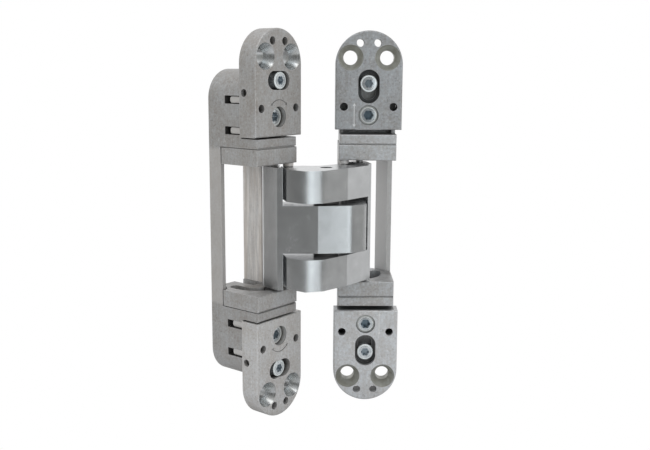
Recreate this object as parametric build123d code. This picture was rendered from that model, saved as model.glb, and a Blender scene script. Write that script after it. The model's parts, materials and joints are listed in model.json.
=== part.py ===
from build123d import *

import math
import os

os.makedirs("parts", exist_ok=True)

# A concealed door hinge, adjustable in height and sideways, shown half open.
# Two leaves sink into the edge of the door and into the jamb. Two crossed arms
# join them: each arm pivots near the front of one leaf and slides in the other.
# Row frame: origin in the middle of the four screw holes of the jamb leaf, on the
# back of its plates, where they rest in the mortise. X runs to the right along
# that face, Y runs into the jamb, Z is up.
# Leaf frame, used to draw every leaf: x towards the other leaf, y out of the
# leaf's front face (so depths are negative y), z up.

# Opening angle at rest, closed gap between the leaf faces, and full opening
OPEN_ANGLE = 128.8
CLOSED_GAP = 8.0
FULL_ANGLE = 180.0

# Heights of the layers from the middle outwards: arm bases, then prongs and
# tongue inside them, then housing blocks, carrier ledges and plates
BASE_HALF = 25.2
PRONG_STEP = 0.6
PRONG_THICK = 13.1
BASE_PLAY = 1.1
BLOCK_HEIGHT = 7.0
PIN_COVER = 2.1
DOOR_LEDGE = 4.3
JAMB_LEDGE = 6.0
WASHER_THICK = 1.5
WASHER_PLAY = 0.2
PRONG_OUT = BASE_HALF - PRONG_STEP
PRONG_IN = PRONG_OUT - PRONG_THICK
TONGUE_HALF = PRONG_IN - WASHER_THICK - WASHER_PLAY
BLOCK_START = BASE_HALF + BASE_PLAY
CARRIER_BLOCK_START = BLOCK_START + BLOCK_HEIGHT
PIN_END = CARRIER_BLOCK_START - PIN_COVER
DOOR_PLATE_START = CARRIER_BLOCK_START + DOOR_LEDGE
JAMB_PLATE_START = CARRIER_BLOCK_START + JAMB_LEDGE

# Fixing plates
PLATE_WIDTH = 28.0
PLATE_THICK = 8.4
PLATE_LENGTH = 42.6
PLATE_TOP = DOOR_PLATE_START + PLATE_LENGTH
PLATE_EDGE_ROUND = 0.7
SCREW_X = 7.7
SCREW_DROP = 11.1
SCREW_Z = PLATE_TOP - SCREW_DROP
SCREW_HOLE_R = 3.0
SCREW_RIM_R = 5.3
SCREW_BORE_LENGTH = 4.3
TIP_HOLE_X = 3.65
TIP_HOLE_DROP = 5.0
TIP_HOLE_Z = PLATE_TOP - TIP_HOLE_DROP
TIP_HOLE_R = 1.65
SIDE_HOLE_X = 10.35
SIDE_HOLE_RISE = 11.3
SIDE_HOLE_Z = DOOR_PLATE_START + SIDE_HOLE_RISE
SIDE_HOLE_R = 1.7
EDGE_HOLE_RISE = 17.4
EDGE_HOLE_Z = DOOR_PLATE_START + EDGE_HOLE_RISE
EDGE_HOLE_DEPTH = 6.0
EDGE_HOLE_R = 1.55
EDGE_HOLE_LENGTH = 5.0

# Clamp screw and its stepped slot
CLAMP_HEAD_R = 3.5
CLAMP_HEAD_EDGE = 0.3
CLAMP_SHANK_R = 2.0
CLAMP_SHANK_LENGTH = 8.0
CLAMP_HOLE_DEPTH = 22.5
CLAMP_SOCKET_R = 1.35
CLAMP_LOBE_R = 0.5
CLAMP_SOCKET_DEPTH = 1.8
CLAMP_STEP = 4.2
DOOR_HEAD_SINK = 0.7
JAMB_HEAD_SINK = 1.2
DOOR_CLAMP_DROP = 20.4
DOOR_CLAMP_Z = PLATE_TOP - DOOR_CLAMP_DROP
DOOR_CLAMP_X = (2.9, 1.5)
DOOR_SLOT_LENGTH = 13.0
DOOR_SLOT_WIDTH = 7.5
JAMB_CLAMP_DROP = 22.9
JAMB_CLAMP_Z = PLATE_TOP - JAMB_CLAMP_DROP
JAMB_CLAMP_RISE = 1.2
JAMB_SLOT_LENGTH = 14.0
JAMB_SLOT_WIDTH = 9.0
SLOT_LEDGE = 1.5

# Adjusters: a round head in the plate with an off-centre peg in the carrier
ADJUSTER_RISE = 7.8
ADJUSTER_Z = DOOR_PLATE_START + ADJUSTER_RISE
ADJUSTER_HOLE_R = 4.2
ADJUSTER_CLEARANCE = 0.05
DOOR_ADJUSTER_SINK = 2.4
DOOR_ADJUSTER_EDGE = 0.4
JAMB_ADJUSTER_SINK = 0.4
JAMB_ADJUSTER_EDGE = 1.0
PEG_R = 1.2
PEG_LENGTH = 3.6
PEG_CLEARANCE = 0.35
ADJUSTER_SOCKET_R = 1.6
ADJUSTER_LOBE_R = 0.55
ADJUSTER_SOCKET_DEPTH = 2.6
DOOR_ECCENTRICITY = 2.9
JAMB_ECCENTRICITY = 2.1

# Sideways setting of the door plates at rest, and the middle of their travel
SIDE_SHIFT = 1.25
SIDE_MIDDLE = 2.2

# Engraved marks: which way each adjuster moves its plate
MARK_WIDTH = 0.5
MARK_DEPTH = 0.25
MARK_HEAD = 1.3
MARK_ARC_R = 6.0
MARK_ARC_HALF = 42.0
MARK_ARC_LIFT = 0.8
MARK_X = 6.0
MARK_REACH = 3.8

# Ribs behind the door plates, and the carrier slots that they slide in
RIB_THICK = 2.5
RIB_REACH = 6.9
RIB_EDGE_ROUND = 1.0
RIB_RISES = (14.6, 2.4)
RIB_HEIGHTS = tuple(DOOR_PLATE_START + rise for rise in RIB_RISES)
RIB_SLOT_HEIGHT = 3.2
RIB_SLOT_REACH = 8.8

# Carriers
CARRIER_HALF = 12.0
CARRIER_DROP = 15.9
CARRIER_TOP = PLATE_TOP - CARRIER_DROP
CARRIER_DEPTH = 26.5
DOOR_LEDGE_GAP = 0.6
JAMB_LEDGE_GAP = 2.0
CASTING_EDGE_ROUND = 0.6
GAP_POCKET_HALF = 10.4
GAP_POCKET_DEPTH = 14.0
SPINE_FRONT = 20.0
SPINE_INNER = 5.3
SPINE_LIP = 2.0

# Housings
HOUSING_INNER_HALF = 12.4
BLOCK_SPINE_GAP = 0.5
JOINT_HIGH = 0.35
JOINT_IN = 0.8
BOSS_R = 2.2
BOSS_PLAY = 0.3
WALL_THICK_X = 7.8
WALL_THIN_X = 10.2
WALL_STEP_DEPTH = 16.0
WALL_TOP_DEPTH = 10.6
WALL_TOP_SLOPE = 1.2
RELIEF_WIDTH = 5.4
RELIEF_DEPTH = 2.6
RELIEF_X = 4.5
RELIEF_START = 15.5

# Arm pivots in the leaf frame: fixed pivot, and centre and guide at rest
LINK_X, LINK_Y = 10.2, -3.0
CENTRE_X, CENTRE_Y = 17.7, 11.2
GUIDE_X, GUIDE_Y = 3.3, -7.0

# Arm outline at rest, in the frame of the leaf that its base slides in
ARM_OUTER = ((-1.5, 1.2), (8.9, 14.0), (18.8, 23.6), (26.0, 25.8), (33.7, 19.9))
KNUCKLE_R = 3.1
HUB_R = 6.2
GUIDE_END_R = 3.2
ARM_CORNER_ROUND = 0.6
SWEEP_CLEARANCE = 0.4

# Pins, bushes, washers and sleeves
CENTRE_PIN_R = 2.5
CENTRE_PIN_SINK = 1.2
LINK_PIN_R = 1.6
GUIDE_PIN_R = 1.5
SLEEVE_R = 2.3
SLEEVE_SLOT_GAP = 0.12
BUSH_WALL = 0.6
RUN_FIT = 0.04
PIN_SEAT_GAP = 0.3
WASHER_R = 5.2
SLEEVE_LENGTH = 4.4

# Steps along the curved slots
PATH_STEPS = 12


def polar(radius, degrees):
    """Point at a distance and an angle from the origin."""
    angle = math.radians(degrees)
    return (radius * math.cos(angle), radius * math.sin(angle))


def span(start, end):
    """Distance and direction in degrees from one point to another."""
    dx, dy = end[0] - start[0], end[1] - start[1]
    return math.hypot(dx, dy), math.degrees(math.atan2(dy, dx))


# Linkage worked out from the three pivots and the closed gap
LINK = (LINK_X, LINK_Y)
CENTRE = (CENTRE_X, CENTRE_Y)
GUIDE = (GUIDE_X, GUIDE_Y)
LINK_REACH, LINK_ANGLE = span(LINK, CENTRE)
GUIDE_REACH, GUIDE_ANGLE = span(CENTRE, GUIDE)
CLOSED_RISE = CLOSED_GAP / 2 - LINK_Y
CLOSED_LINK_ANGLE = 180 - math.degrees(math.asin(CLOSED_RISE / LINK_REACH))
LINK_RATIO = (CLOSED_LINK_ANGLE - LINK_ANGLE) / OPEN_ANGLE
MIRROR_ANGLE = 180 - OPEN_ANGLE / 2
LEAF_OFFSET = 2 * (
    CENTRE_X * math.sin(math.radians(MIRROR_ANGLE)) - CENTRE_Y * math.cos(math.radians(MIRROR_ANGLE))
)
DOOR_X, DOOR_Y = polar(-LEAF_OFFSET, MIRROR_ANGLE - 90)
DOOR_Y -= PLATE_THICK
SWEEP_R = LINK_REACH + KNUCKLE_R + SWEEP_CLEARANCE
FAR_LINK = tuple(
    c + v for c, v in zip(CENTRE, polar(LINK_REACH, 2 * MIRROR_ANGLE - LINK_ANGLE - 180))
)


def centre_at(opening):
    """Centre pivot in the leaf frame at an opening angle."""
    dx, dy = polar(LINK_REACH, CLOSED_LINK_ANGLE - LINK_RATIO * opening)
    return (LINK_X + dx, LINK_Y + dy)


def guide_at(opening):
    """Guide pin of the arm base in the leaf frame at an opening angle."""
    turn = (1 - LINK_RATIO) * (OPEN_ANGLE - opening)
    dx, dy = polar(GUIDE_REACH, GUIDE_ANGLE + turn)
    cx, cy = centre_at(opening)
    return (cx + dx, cy + dy)


def place_jamb(shape):
    """Turn a solid drawn in the leaf frame into the jamb leaf's place."""
    return Pos(0, -PLATE_THICK, 0) * Rot(0, 0, 180) * shape


def place_door(shape):
    """Mirror a solid drawn in the leaf frame and turn it into the door leaf's place."""
    return Pos(DOOR_X, DOOR_Y, 0) * Rot(0, 0, -OPEN_ANGLE) * mirror(shape, about=Plane.YZ)


def jamb_point(x, y):
    """Row-frame X and Y of a leaf-frame point on the jamb leaf."""
    return (-x, -PLATE_THICK - y)


def door_point(x, y):
    """Row-frame X and Y of a leaf-frame point on the door leaf."""
    px, py = polar(1, -OPEN_ANGLE), polar(1, 90 - OPEN_ANGLE)
    return (DOOR_X - x * px[0] + y * py[0], DOOR_Y - x * px[1] + y * py[1])


def lower(shape):
    """The same piece for the lower end of the leaf."""
    return mirror(shape, about=Plane.XY)


def rod(x, y, z_low, z_high, radius):
    """Upright cylinder between two heights."""
    return Pos(x, y, (z_low + z_high) / 2) * Cylinder(radius, z_high - z_low)


def drill(x, z, radius, depth, start=0.0):
    """Round tool into the front face, from one depth to another."""
    length = depth - start
    return Pos(x, -(start + depth) / 2, z) * Rot(90, 0, 0) * Cylinder(radius, length)


def front_slab(sketch, thick, start=0.0):
    """Extrude a sketch drawn in x and z into the leaf, from a start depth."""
    return Pos(0, -start, 0) * extrude(Plane.XZ * sketch, thick)


def upright(points, z_low, z_high):
    """Prism of a plan outline between two heights."""
    face = make_face(Polyline(*points, close=True))
    return Pos(0, 0, z_low) * extrude(face, z_high - z_low)


def slot_tool(z, length, width, depth, start=0.0, tall=False, x=0.0):
    """Round-ended slot into the front face."""
    shape = SlotOverall(length, width)
    if tall:
        shape = Rot(0, 0, 90) * shape
    return front_slab(Pos(x, z) * shape, depth - start, start)


def stadium_end(half, low, high):
    """Plate outline with a square lower end and a round upper end."""
    top = high - half
    return Pos(0, (low + top) / 2) * Rectangle(2 * half, top - low) + Pos(0, top) * Circle(half)


def six_lobe(radius, lobe):
    """Outline of a key socket: a circle with six round lobes."""
    shape = Circle(radius)
    for turn in range(6):
        shape += Pos(*polar(radius, 60 * turn)) * Circle(lobe)
    return shape


def arrow_head(x, z, direction):
    """Small arrowhead whose base is centred on a point."""
    tip = polar(MARK_HEAD, direction)
    side = polar(MARK_HEAD * 0.6, direction + 90)
    points = ((x + side[0], z + side[1]), (x - side[0], z - side[1]), (x + tip[0], z + tip[1]))
    return make_face(Polyline(*points, close=True))


def turn_mark():
    """Arc with a head at each end, beyond the adjuster that moves the plate sideways."""
    first, last = 90 - MARK_ARC_HALF, 90 + MARK_ARC_HALF
    far = 2 * MARK_ARC_R
    sector = make_face(Polyline((0, 0), polar(far, first), polar(far, last), close=True))
    shape = (Circle(MARK_ARC_R + MARK_WIDTH / 2) - Circle(MARK_ARC_R - MARK_WIDTH / 2)) & sector
    for angle, way in ((first, -90), (last, 90)):
        shape += arrow_head(*polar(MARK_ARC_R, angle), angle + way)
    return Pos(0, ADJUSTER_Z + MARK_ARC_LIFT) * shape


def height_mark():
    """Upright line with a head at each end, beside the adjuster that sets the height."""
    shape = Rectangle(MARK_WIDTH, 2 * MARK_REACH)
    for side in (-1, 1):
        shape += arrow_head(0, side * MARK_REACH, side * 90)
    return Pos(MARK_X, ADJUSTER_Z) * shape


def engrave(plate, mark):
    """Cut a mark into a plate's front face."""
    return plate - front_slab(mark, MARK_DEPTH + 1, -1)


def fixing_plate(start):
    """Fixing plate with its countersinks, small holes and adjuster hole."""
    plate = front_slab(stadium_end(PLATE_WIDTH / 2, start, PLATE_TOP), PLATE_THICK)
    plate = fillet(plate.faces().sort_by(Axis.Y)[-1].edges(), PLATE_EDGE_ROUND)
    sink = PLATE_THICK - SCREW_BORE_LENGTH
    for side in (-1, 1):
        plate -= drill(side * SCREW_X, SCREW_Z, SCREW_HOLE_R, PLATE_THICK + 1)
        cone = Cone(SCREW_HOLE_R, SCREW_RIM_R, sink)
        plate -= Pos(side * SCREW_X, -sink / 2, SCREW_Z) * Rot(-90, 0, 0) * cone
        plate -= drill(side * TIP_HOLE_X, TIP_HOLE_Z, TIP_HOLE_R, PLATE_THICK + 1)
        plate -= drill(side * SIDE_HOLE_X, SIDE_HOLE_Z, SIDE_HOLE_R, PLATE_THICK + 1)
        edge = Pos(side * PLATE_WIDTH / 2, -EDGE_HOLE_DEPTH, EDGE_HOLE_Z) * Rot(0, 90, 0)
        plate -= edge * Cylinder(EDGE_HOLE_R, EDGE_HOLE_LENGTH)
    plate -= drill(0, ADJUSTER_Z, ADJUSTER_HOLE_R, PLATE_THICK + 1)
    return plate


def clamp_slot(z, length, width, tall):
    """Stepped slot: wide for the screw head, narrower for its shank."""
    wide = slot_tool(z, length, width, CLAMP_STEP, tall=tall)
    narrow = slot_tool(z, length - 2 * SLOT_LEDGE, width - 2 * SLOT_LEDGE, PLATE_THICK + 1, tall=tall)
    return wide + narrow


def door_plate():
    """Upper door plate: a level slot for the clamp screw, and two ribs behind."""
    plate = fixing_plate(DOOR_PLATE_START)
    plate -= clamp_slot(DOOR_CLAMP_Z, DOOR_SLOT_LENGTH, DOOR_SLOT_WIDTH, False)
    for height in RIB_HEIGHTS:
        rib = Pos(0, height) * Rectangle(2 * CARRIER_HALF, RIB_THICK)
        rib_solid = front_slab(rib, RIB_REACH, PLATE_THICK)
        rib_solid = fillet(rib_solid.faces().sort_by(Axis.Y)[0].edges().filter_by(Axis.X), RIB_EDGE_ROUND)
        plate += rib_solid - drill(0, ADJUSTER_Z, ADJUSTER_HOLE_R + RIB_THICK, CARRIER_DEPTH)
    return engrave(plate, turn_mark())


def jamb_plate():
    """Upper jamb plate: an upright slot for the clamp screw."""
    plate = fixing_plate(JAMB_PLATE_START)
    plate -= clamp_slot(JAMB_CLAMP_Z, JAMB_SLOT_LENGTH, JAMB_SLOT_WIDTH, True)
    return engrave(plate, height_mark())


def clamp_place(door, low):
    """Place of a clamp screw in x, and in z from the middle, at the upper or lower end."""
    if door:
        return (DOOR_CLAMP_X[1 if low else 0], DOOR_CLAMP_Z)
    return (0.0, JAMB_CLAMP_Z + JAMB_CLAMP_RISE)


def clamp_screw(door, low):
    """Clamp screw with a six-lobe socket in its head, drawn at the upper end."""
    x, z = clamp_place(door, low)
    top = DOOR_HEAD_SINK if door else JAMB_HEAD_SINK
    head = drill(x, z, CLAMP_HEAD_R, CLAMP_STEP, top)
    head = chamfer(head.faces().sort_by(Axis.Y)[-1].edges(), CLAMP_HEAD_EDGE)
    shank = drill(x, z, CLAMP_SHANK_R, CLAMP_STEP + CLAMP_SHANK_LENGTH, CLAMP_STEP)
    socket = Pos(x, z) * six_lobe(CLAMP_SOCKET_R, CLAMP_LOBE_R)
    return head + shank - front_slab(socket, CLAMP_SOCKET_DEPTH, top)


def peg_place(door):
    """Offset of the adjuster's peg from the middle of its head, at rest."""
    if door:
        turn = math.asin((SIDE_MIDDLE - SIDE_SHIFT) / DOOR_ECCENTRICITY)
        return (DOOR_ECCENTRICITY * math.sin(turn), DOOR_ECCENTRICITY * math.cos(turn))
    return (-JAMB_ECCENTRICITY, 0.0)


def adjuster(door):
    """Eccentric adjuster: round head, key socket and off-centre peg."""
    sink = DOOR_ADJUSTER_SINK if door else JAMB_ADJUSTER_SINK
    edge = DOOR_ADJUSTER_EDGE if door else JAMB_ADJUSTER_EDGE
    head = drill(0, ADJUSTER_Z, ADJUSTER_HOLE_R - ADJUSTER_CLEARANCE, PLATE_THICK, sink)
    head = chamfer(head.faces().sort_by(Axis.Y)[-1].edges(), edge)
    px, pz = peg_place(door)
    peg = drill(px, ADJUSTER_Z + pz, PEG_R, PLATE_THICK + PEG_LENGTH, PLATE_THICK)
    socket = Pos(0, ADJUSTER_Z) * six_lobe(ADJUSTER_SOCKET_R, ADJUSTER_LOBE_R)
    return head + peg - front_slab(socket, ADJUSTER_SOCKET_DEPTH, sink)


def peg_slot(door):
    """Slot in the carrier that the adjuster's peg pushes sideways or up and down."""
    throw = DOOR_ECCENTRICITY if door else JAMB_ECCENTRICITY
    length = 2 * (throw + PEG_R + PEG_CLEARANCE)
    width = 2 * (PEG_R + PEG_CLEARANCE)
    depth = PLATE_THICK + PEG_LENGTH + PEG_CLEARANCE
    middle = SIDE_MIDDLE if door else 0.0
    return slot_tool(ADJUSTER_Z, length, width, depth, PLATE_THICK - 1, tall=door, x=middle)


def end_block(door, low):
    """End block of a carrier: the seat behind the plate, and a ledge that fills in below it."""
    half = CARRIER_HALF
    outline = stadium_end(half, CARRIER_BLOCK_START, CARRIER_TOP)
    block = front_slab(outline, CARRIER_DEPTH - PLATE_THICK, PLATE_THICK)
    if door:
        ledge_top = DOOR_PLATE_START - DOOR_LEDGE_GAP
    else:
        ledge_top = JAMB_PLATE_START - JAMB_LEDGE_GAP
        gap = Pos(0, ledge_top + JAMB_LEDGE_GAP / 2) * Rectangle(2 * GAP_POCKET_HALF, JAMB_LEDGE_GAP)
        block -= front_slab(gap, GAP_POCKET_DEPTH, 0)
    middle = (CARRIER_BLOCK_START + ledge_top) / 2
    ledge = front_slab(Pos(0, middle) * Rectangle(2 * half, ledge_top - CARRIER_BLOCK_START), PLATE_THICK)
    block += fillet(ledge.faces().sort_by(Axis.Y)[-1].edges(), CASTING_EDGE_ROUND)
    block -= peg_slot(door)
    block -= drill(*clamp_place(door, low), CLAMP_SHANK_R, CLAMP_HOLE_DEPTH)
    if door:
        for height in RIB_HEIGHTS:
            groove = Pos(0, height) * Rectangle(2 * half + 2, RIB_SLOT_HEIGHT)
            block -= front_slab(groove, RIB_SLOT_REACH + 1, PLATE_THICK - 1)
    return block


def carrier(door):
    """C-shaped casting: two rounded end blocks joined by a spine on the outer side."""
    half = CARRIER_HALF
    spine_plan = (
        (-half, -SPINE_FRONT),
        (-half + SPINE_LIP, -SPINE_FRONT),
        (-SPINE_INNER, -CARRIER_DEPTH),
        (-half, -CARRIER_DEPTH),
    )
    spine = upright(spine_plan, -CARRIER_BLOCK_START, CARRIER_BLOCK_START)
    return end_block(door, False) + spine + lower(end_block(door, True))


def path_slot(points, width):
    """Plan of a slot of one width that follows a list of points."""
    slot = Pos(*points[0]) * Circle(width / 2)
    for start, end in zip(points, points[1:]):
        reach, angle = span(start, end)
        middle = ((start[0] + end[0]) / 2, (start[1] + end[1]) / 2)
        slot += Pos(*middle) * Rot(0, 0, angle) * Rectangle(reach, width)
        slot += Pos(*end) * Circle(width / 2)
    return slot


def guide_slot(z_low, z_high):
    """Curved slot along the path of the guide pin, from closed to fully open."""
    points = [guide_at(FULL_ANGLE * step / PATH_STEPS) for step in range(PATH_STEPS + 1)]
    slot = path_slot(points, 2 * (SLEEVE_R + SLEEVE_SLOT_GAP))
    return Pos(0, 0, z_low) * extrude(slot, z_high - z_low)


def plan_solid(sketch, z_low, z_high):
    """Extrude a plan sketch between two heights."""
    return Pos(0, 0, z_low) * extrude(sketch, z_high - z_low)


def housing_block():
    """Upper end block of a housing, with its guide slot, pin hole and boss."""
    back = CARRIER_DEPTH
    notch = SPINE_FRONT - BLOCK_SPINE_GAP
    outline = (
        (-CARRIER_HALF, 0),
        (HOUSING_INNER_HALF, 0),
        (HOUSING_INNER_HALF, -back),
        (-SPINE_INNER + 2 * BLOCK_SPINE_GAP, -back),
        (-CARRIER_HALF + SPINE_LIP + BLOCK_SPINE_GAP, -notch),
        (-CARRIER_HALF, -notch),
    )
    plan = make_face(Polyline(*outline, close=True))
    joint = CARRIER_BLOCK_START - JOINT_HIGH
    block = plan_solid(plan, BLOCK_START, joint)
    block = fillet(block.faces().sort_by(Axis.Y)[-1].edges(), CASTING_EDGE_ROUND)
    block += plan_solid(offset(plan, -JOINT_IN, kind=Kind.INTERSECTION), joint, CARRIER_BLOCK_START)
    block += rod(*LINK, PRONG_OUT + BOSS_PLAY, BLOCK_START, BOSS_R)
    block -= guide_slot(BLOCK_START - 1, PIN_END + PIN_SEAT_GAP)
    relief_length = back + 1 - RELIEF_START
    relief = Pos(RELIEF_X, -RELIEF_START - relief_length / 2) * Rectangle(RELIEF_WIDTH, relief_length)
    block -= plan_solid(relief, BLOCK_START - 1, BLOCK_START + RELIEF_DEPTH)
    return block - rod(*LINK, PRONG_IN, PIN_END, LINK_PIN_R)


def housing():
    """Inner casting: two end blocks joined by a stepped side wall."""
    wall_plan = (
        (WALL_THIN_X, -WALL_TOP_DEPTH - WALL_TOP_SLOPE),
        (HOUSING_INNER_HALF, -WALL_TOP_DEPTH),
        (HOUSING_INNER_HALF, -CARRIER_DEPTH),
        (WALL_THICK_X, -CARRIER_DEPTH),
        (WALL_THICK_X, -WALL_STEP_DEPTH),
        (WALL_THIN_X, -WALL_STEP_DEPTH),
    )
    block = housing_block()
    return block + upright(wall_plan, -BLOCK_START, BLOCK_START) + lower(block)


def tangent(start, start_r, end, end_r):
    """Points where a straight line touches two circles, on the left of the way between them."""
    reach, angle = span(start, end)
    lean = math.degrees(math.acos((start_r - end_r) / reach))
    nx, ny = polar(1, angle + lean)
    return (start[0] + start_r * nx, start[1] + start_r * ny), (end[0] + end_r * nx, end[1] + end_r * ny)


def round_end(centre, start, end):
    """Arc about a centre, clockwise from one point to another."""
    radius, first = span(centre, start)
    _, last = span(centre, end)
    dx, dy = polar(radius, first - ((first - last) % 360) / 2)
    return ThreePointArc(start, (centre[0] + dx, centre[1] + dy), end)


def meet(line, other):
    """Point where two straight lines, each given by two points, cross."""
    (ax, ay), (bx, by) = line
    (cx, cy), (dx, dy) = other
    ux, uy, vx, vy = bx - ax, by - ay, dx - cx, dy - cy
    along = ((cx - ax) * vy - (cy - ay) * vx) / (ux * vy - uy * vx)
    return (ax + along * ux, ay + along * uy)


def arm_sketch():
    """Plan of an arm: outer facets, a hollow inner side, and round ends at tip and foot."""
    tip = tangent(ARM_OUTER[-1], 0, FAR_LINK, KNUCKLE_R)[1]
    tip_side = tangent(FAR_LINK, KNUCKLE_R, CENTRE, HUB_R)
    foot_side = tangent(CENTRE, HUB_R, GUIDE, GUIDE_END_R)
    heel = tangent(GUIDE, GUIDE_END_R, ARM_OUTER[0], 0)[0]
    outline = [
        Polyline(heel, *ARM_OUTER, tip),
        round_end(FAR_LINK, tip, tip_side[0]),
        Polyline(tip_side[0], meet(tip_side, foot_side), foot_side[1]),
        round_end(GUIDE, foot_side[1], heel),
    ]
    plan = make_face(outline)
    corners = [v for v in plan.vertices() if min(math.dist((v.X, v.Y), p) for p in ARM_OUTER) < RUN_FIT]
    return fillet(corners, ARM_CORNER_ROUND)


def arm_base():
    """Full-height foot of an arm, hollowed where the other arm's knuckle swings past."""
    return plan_solid(arm_sketch() - Pos(*CENTRE) * Circle(SWEEP_R), -BASE_HALF, BASE_HALF)


def bored(arm, centre_r):
    """Arm with its three holes: centre pin, link pin at the tip and guide pin at the foot."""
    holes = ((CENTRE, centre_r), (FAR_LINK, LINK_PIN_R + BUSH_WALL), (GUIDE, GUIDE_PIN_R))
    for place, radius in holes:
        arm -= rod(*place, -CARRIER_BLOCK_START, CARRIER_BLOCK_START, radius)
    return arm


def tongue_arm():
    """Middle arm: one thick tongue, pivoted at its tip in the jamb leaf."""
    arm = plan_solid(arm_sketch(), -TONGUE_HALF, TONGUE_HALF) + arm_base()
    return bored(arm, CENTRE_PIN_R + BUSH_WALL)


def link_pin_groove():
    """Curved groove that the jamb leaf's link pin needs between the prongs and their base."""
    points = []
    for step in range(PATH_STEPS + 1):
        opening = FULL_ANGLE * step / PATH_STEPS
        turn = (1 - LINK_RATIO) * (OPEN_ANGLE - opening)
        dx, dy = polar(LINK_REACH, CLOSED_LINK_ANGLE - LINK_RATIO * opening + 180 - turn)
        points.append((CENTRE[0] + dx, CENTRE[1] + dy))
    return path_slot(points, 2 * (LINK_PIN_R + SWEEP_CLEARANCE))


def fork_arm():
    """Outer arm: two prongs above and below the tongue, pivoted at their tips in the door leaf."""
    prong = plan_solid(arm_sketch() - link_pin_groove(), PRONG_IN, PRONG_OUT)
    arm = prong + mirror(prong, about=Plane.XY) + arm_base()
    return bored(arm, CENTRE_PIN_R)


def ring(place, z_low, z_high, outer, inner):
    """Upright tube between two heights."""
    return rod(*place, z_low, z_high, outer) - rod(*place, z_low - 1, z_high + 1, inner)


def link_bush(z_low, z_high):
    """Bush pressed in an arm's knuckle, running on the link pin."""
    return ring(FAR_LINK, z_low, z_high, LINK_PIN_R + BUSH_WALL, LINK_PIN_R + RUN_FIT)


def guide_sleeve(top):
    """Sleeve on one end of a guide pin, which runs in the housing's slot."""
    return ring(GUIDE, top - SLEEVE_LENGTH, top, SLEEVE_R, GUIDE_PIN_R)


def leaf_pieces(name, place, door):
    """All pieces of one leaf, drawn in the leaf frame and put in place."""
    shift = Pos(SIDE_SHIFT if door else 0, 0, 0)
    plate = door_plate() if door else jamb_plate()
    turner = adjuster(door)
    return {
        name + "_carrier": place(carrier(door)),
        name + "_housing": place(housing()),
        name + "_upper_plate": place(shift * plate),
        name + "_lower_plate": place(shift * Rot(0, 180, 0) * plate),
        name + "_upper_adjuster": place(shift * turner),
        name + "_lower_adjuster": place(shift * lower(turner)),
        name + "_upper_clamp_screw": place(clamp_screw(door, False)),
        name + "_lower_clamp_screw": place(lower(clamp_screw(door, True))),
    }


def arm_pieces():
    """The two arms with their pins, bushes, washers and sleeves."""
    sleeve_top = PIN_END - PIN_SEAT_GAP
    pin_top = PRONG_OUT - CENTRE_PIN_SINK
    jamb_link = rod(*LINK, -PIN_END, PIN_END, LINK_PIN_R)
    door_link = rod(*LINK, PRONG_IN, PIN_END, LINK_PIN_R)
    guide_pin = rod(*GUIDE, -sleeve_top, sleeve_top, GUIDE_PIN_R)
    centre_bush = ring(
        CENTRE, -TONGUE_HALF, TONGUE_HALF, CENTRE_PIN_R + BUSH_WALL, CENTRE_PIN_R + RUN_FIT
    )
    washer = ring(CENTRE, PRONG_IN - WASHER_THICK, PRONG_IN, WASHER_R, CENTRE_PIN_R)
    return {
        "tongue_arm": place_door(tongue_arm()),
        "fork_arm": place_jamb(fork_arm()),
        "centre_pin": place_jamb(rod(*CENTRE, -pin_top, pin_top, CENTRE_PIN_R)),
        "centre_bush": place_jamb(centre_bush),
        "upper_washer": place_jamb(washer),
        "lower_washer": place_jamb(lower(washer)),
        "tongue_link_pin": place_jamb(jamb_link),
        "tongue_link_bush": place_door(link_bush(-TONGUE_HALF, TONGUE_HALF)),
        "upper_prong_pin": place_door(door_link),
        "lower_prong_pin": place_door(lower(door_link)),
        "upper_prong_bush": place_jamb(link_bush(PRONG_IN, PRONG_OUT)),
        "lower_prong_bush": place_jamb(lower(link_bush(PRONG_IN, PRONG_OUT))),
        "tongue_guide_pin": place_door(guide_pin),
        "fork_guide_pin": place_jamb(guide_pin),
        "tongue_upper_sleeve": place_door(guide_sleeve(sleeve_top)),
        "tongue_lower_sleeve": place_door(lower(guide_sleeve(sleeve_top))),
        "fork_upper_sleeve": place_jamb(guide_sleeve(sleeve_top)),
        "fork_lower_sleeve": place_jamb(lower(guide_sleeve(sleeve_top))),
    }


def print_linkage():
    """Print the worked-out linkage, for the record of joints and mounts."""
    print("link ratio", round(LINK_RATIO, 5))
    for name, point in (("link", LINK), ("centre", CENTRE), ("guide", GUIDE)):
        print(name, "jamb", jamb_point(*point), "door", door_point(*point))


def main():
    """Write each piece to its own file."""
    pieces = arm_pieces()
    pieces.update(leaf_pieces("jamb", place_jamb, False))
    pieces.update(leaf_pieces("door", place_door, True))
    for name, solid in pieces.items():
        export_step(solid, "parts/" + name + ".step")
    print_linkage()


main()
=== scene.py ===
"""Studio scene of a concealed door hinge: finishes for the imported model, light and camera.

Metres throughout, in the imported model's frame: X along the jamb leaf, away from the
door leaf; Y into the jamb; Z up. The back of the jamb plates lies in the plane Y = 0.
The finishes give their own sizes in millimetres, and their greys as display values from
0 to 255, with warm for the steps added to red and taken from blue.
"""

from __future__ import annotations

import json
import logging
import math
from dataclasses import dataclass, replace
from enum import Enum
from typing import Any, Mapping, Sequence

import bpy
import numpy as np
from mathutils import Euler, Matrix, Vector

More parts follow.
